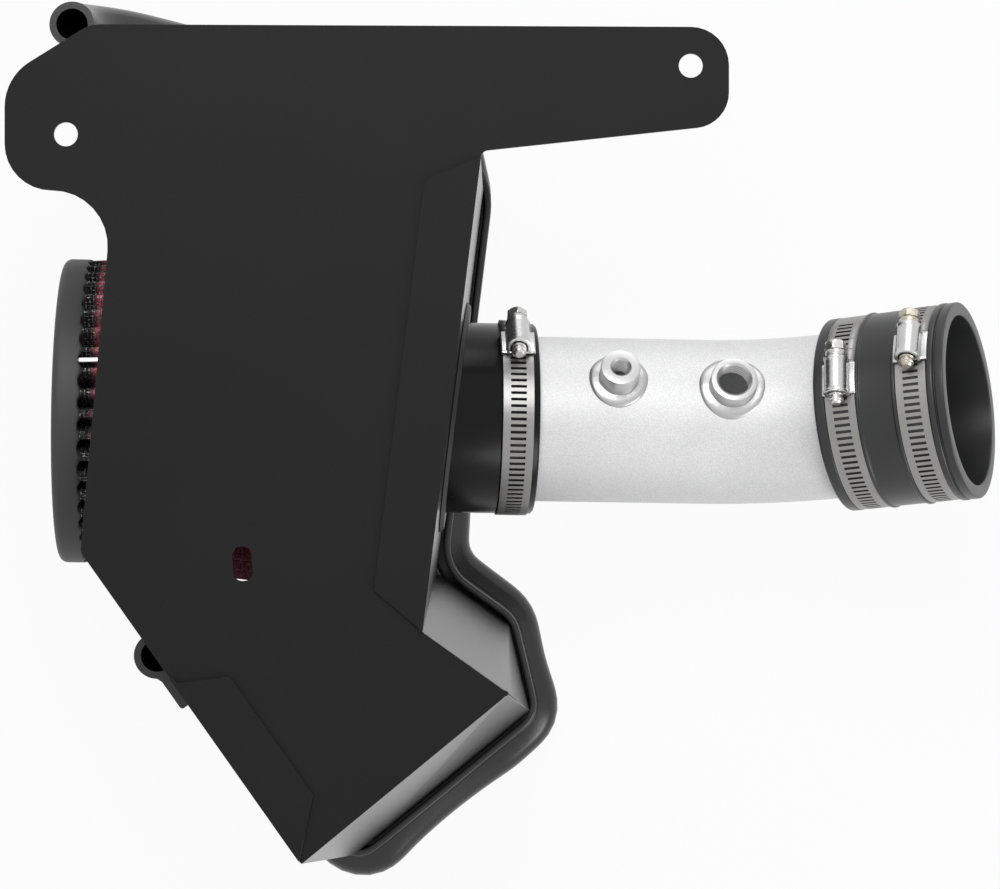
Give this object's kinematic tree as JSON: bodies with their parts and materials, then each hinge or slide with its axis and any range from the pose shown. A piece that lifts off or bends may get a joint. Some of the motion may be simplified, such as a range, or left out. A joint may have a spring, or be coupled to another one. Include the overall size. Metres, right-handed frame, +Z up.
{
  "type": "cold air intake pipe",
  "caption": "Cold air intake: sheet heat shield with a bulb seal, a cone filter, and a clamped metal tube with bungs and a rubber throttle coupler.",
  "frame": {"origin": "middle of the part's box, on the surface that the hood seal lies on", "axes": "+X along the tube toward the throttle coupler, +Y across it toward the shield's two bolt ears, +Z up to the base panel's outer face"},
  "size_m": [0.408, 0.3812, 0.1915],
  "materials": {
    "powder_coat": "fine textured powder coat, satin",
    "seal_rubber": "matte foam rubber skin",
    "trim_rubber": "matte",
    "cap_urethane": "satin moulded urethane",
    "filter_mesh": "oiled cotton under black wire mesh",
    "base_urethane": "matte moulded urethane",
    "clip_metal": "bright strip",
    "tube_metal": "satin, fine grain round the tube",
    "bung_metal": "turned, with a welded foot",
    "coupler_rubber": "semi-gloss",
    "stainless": "satin strip",
    "screw_steel": "zinc plated"
  },
  "bodies": {
    "root": {"shield_base": "powder_coat", "tube_side_wall": "powder_coat", "wrap_wall": "powder_coat", "lower_left_wall": "powder_coat", "top_wall": "powder_coat", "hood_seal": "seal_rubber", "neck_hole_trim": "trim_rubber", "filter_end_cap": "cap_urethane", "filter_media": "filter_mesh", "filter_seam_clip": "clip_metal", "filter_base": "base_urethane", "intake_tube": "tube_metal", "small_bung": "bung_metal", "large_bung": "bung_metal", "throttle_coupler": "coupler_rubber", "neck_clamp_band": "stainless", "neck_clamp_housing": "stainless", "neck_clamp_screw": "screw_steel", "tube_clamp_band": "stainless", "tube_clamp_housing": "stainless", "tube_clamp_screw": "screw_steel", "throttle_clamp_band": "stainless", "throttle_clamp_housing": "stainless", "throttle_clamp_screw": "screw_steel"}
  },
  "joints": []
}
